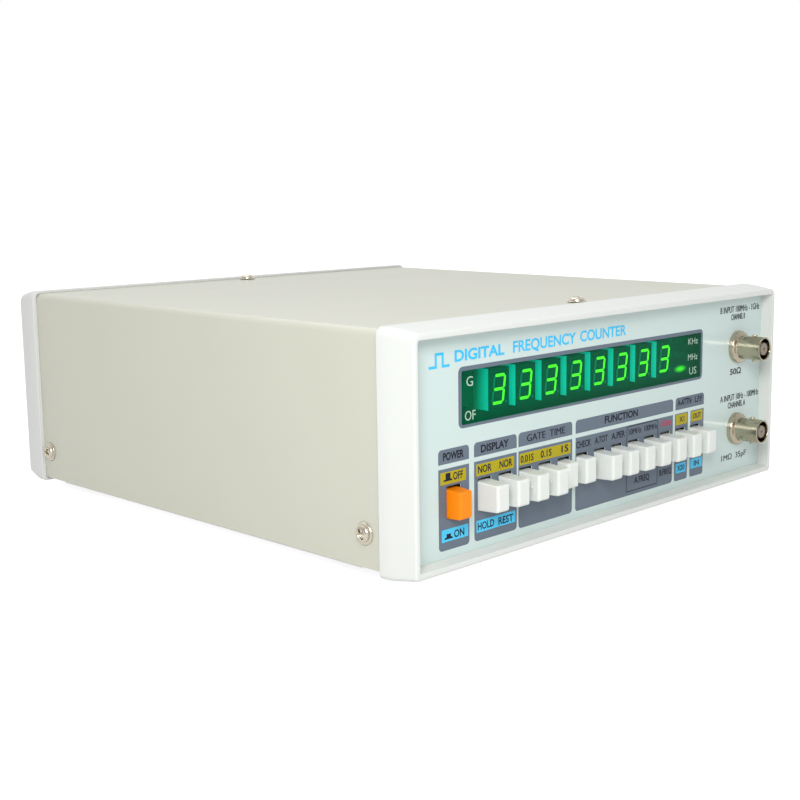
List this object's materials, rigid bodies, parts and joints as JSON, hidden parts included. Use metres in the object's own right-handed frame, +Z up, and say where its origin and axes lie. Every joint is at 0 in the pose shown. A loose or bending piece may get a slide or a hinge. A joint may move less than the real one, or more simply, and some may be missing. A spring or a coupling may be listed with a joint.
{
  "type": "bench frequency counter",
  "caption": "Bench frequency counter: a flat painted steel case with moulded bezels, LED digits behind a green window, a row of push keys, coaxial input sockets and a rear mains inlet.",
  "frame": {"origin": "on the bench, under the middle of the part's outer size, latched keys in", "axes": "+X to the right as seen from the front, +Y from the front to the back, +Z up"},
  "size_m": [0.2156, 0.244, 0.0835],
  "materials": {
    "white_moulding": "semi-gloss moulding",
    "grey_moulding": "satin moulding",
    "beige_paint": "fine orange-peel paint on steel sheet",
    "zinc_plated_steel": "zinc plated",
    "nickel": "nickel plated, polished",
    "grey_rubber": "matt",
    "panel_plastic": "matt, under the film",
    "printed_film": "glossy, pale blue-green, printed",
    "green_acrylic": "transparent dark green, polished",
    "led_module": "white sides, dark face",
    "circuit_board": "solder mask",
    "ribbon": "satin",
    "button_white": "satin moulding",
    "button_orange": "satin moulding",
    "black_plastic": "satin moulding",
    "transformer_core": "varnished laminations",
    "black_aluminium": "black anodised",
    "capacitor_sleeve": "blue plastic sleeve",
    "tin_plate": "tinned",
    "rear_paint": "satin paint"
  },
  "bodies": {
    "case": {"front_bezel": "white_moulding", "rear_bezel": "grey_moulding", "top_cover": "beige_paint", "bottom_chassis": "zinc_plated_steel", "front_panel": "panel_plastic", "front_film": "printed_film", "display_window": "green_acrylic", "display_board": "circuit_board", "main_board": "circuit_board", "ribbon_cable": "ribbon", "bnc_a": "nickel", "bnc_b": "nickel", "bnc_nut_a": "nickel", "bnc_nut_b": "nickel", "transformer": "transformer_core", "regulator_heatsink": "black_aluminium", "filter_capacitor": "capacitor_sleeve", "crystal_oscillator": "tin_plate", "prescaler_shield": "tin_plate", "rear_panel": "rear_paint", "mains_inlet": "black_plastic", "digit_1": "led_module", "digit_2": "led_module", "digit_3": "led_module", "digit_4": "led_module", "digit_5": "led_module", "digit_6": "led_module", "digit_7": "led_module", "digit_8": "led_module", "power_switch": "black_plastic", "display_switches": "black_plastic", "gate_switches": "black_plastic", "function_switches": "black_plastic", "input_switches": "black_plastic", "top_screw_front": "nickel", "side_screw_front_left": "nickel", "foot_front_left": "grey_rubber", "side_screw_front_right": "nickel", "foot_front_right": "grey_rubber", "top_screw_rear": "nickel", "side_screw_rear_left": "nickel", "foot_rear_left": "grey_rubber", "side_screw_rear_right": "nickel", "foot_rear_right": "grey_rubber"},
    "power_button": {"power_button": "button_orange"},
    "hold_button": {"hold_button": "button_white"},
    "reset_button": {"reset_button": "button_white"},
    "gate_001s_button": {"gate_001s_button": "button_white"},
    "gate_01s_button": {"gate_01s_button": "button_white"},
    "gate_1s_button": {"gate_1s_button": "button_white"},
    "check_button": {"check_button": "button_white"},
    "total_button": {"total_button": "button_white"},
    "period_button": {"period_button": "button_white"},
    "freq_10mhz_button": {"freq_10mhz_button": "button_white"},
    "freq_100mhz_button": {"freq_100mhz_button": "button_white"},
    "freq_1ghz_button": {"freq_1ghz_button": "button_white"},
    "attenuator_button": {"attenuator_button": "button_white"},
    "low_pass_button": {"low_pass_button": "button_white"},
    "fuse_drawer": {"fuse_drawer": "black_plastic"}
  },
  "joints": [
    {"name": "power_press", "type": "slide", "parent": "case", "child": "power_button", "axis": [0, 1, 0], "range_m": [-0.003, 0]},
    {"name": "hold_press", "type": "slide", "parent": "case", "child": "hold_button", "axis": [0, 1, 0], "range_m": [0, 0.0039], "stiffness_N_per_m": 400, "springref_m": -0.002},
    {"name": "reset_press", "type": "slide", "parent": "case", "child": "reset_button", "axis": [0, 1, 0], "range_m": [0, 0.0039], "stiffness_N_per_m": 400, "springref_m": -0.002},
    {"name": "gate_001s_press", "type": "slide", "parent": "case", "child": "gate_001s_button", "axis": [0, 1, 0], "range_m": [0, 0.0039], "stiffness_N_per_m": 400, "springref_m": -0.002},
    {"name": "gate_01s_press", "type": "slide", "parent": "case", "child": "gate_01s_button", "axis": [0, 1, 0], "range_m": [0, 0.0039], "stiffness_N_per_m": 400, "springref_m": -0.002},
    {"name": "gate_1s_press", "type": "slide", "parent": "case", "child": "gate_1s_button", "axis": [0, 1, 0], "range_m": [-0.0039, 0]},
    {"name": "check_press", "type": "slide", "parent": "case", "child": "check_button", "axis": [0, 1, 0], "range_m": [-0.0039, 0]},
    {"name": "total_press", "type": "slide", "parent": "case", "child": "total_button", "axis": [0, 1, 0], "range_m": [0, 0.0039], "stiffness_N_per_m": 400, "springref_m": -0.002},
    {"name": "period_press", "type": "slide", "parent": "case", "child": "period_button", "axis": [0, 1, 0], "range_m": [0, 0.0039], "stiffness_N_per_m": 400, "springref_m": -0.002},
    {"name": "freq_10mhz_press", "type": "slide", "parent": "case", "child": "freq_10mhz_button", "axis": [0, 1, 0], "range_m": [0, 0.0039], "stiffness_N_per_m": 400, "springref_m": -0.002},
    {"name": "freq_100mhz_press", "type": "slide", "parent": "case", "child": "freq_100mhz_button", "axis": [0, 1, 0], "range_m": [0, 0.0039], "stiffness_N_per_m": 400, "springref_m": -0.002},
    {"name": "freq_1ghz_press", "type": "slide", "parent": "case", "child": "freq_1ghz_button", "axis": [0, 1, 0], "range_m": [0, 0.0039], "stiffness_N_per_m": 400, "springref_m": -0.002},
    {"name": "attenuator_press", "type": "slide", "parent": "case", "child": "attenuator_button", "axis": [0, 1, 0], "range_m": [0, 0.0039], "stiffness_N_per_m": 400, "springref_m": -0.002},
    {"name": "low_pass_press", "type": "slide", "parent": "case", "child": "low_pass_button", "axis": [0, 1, 0], "range_m": [0, 0.0039], "stiffness_N_per_m": 400, "springref_m": -0.002},
    {"name": "fuse_drawer_slide", "type": "slide", "parent": "case", "child": "fuse_drawer", "axis": [0, 1, 0], "range_m": [0, 0.02]}
  ]
}
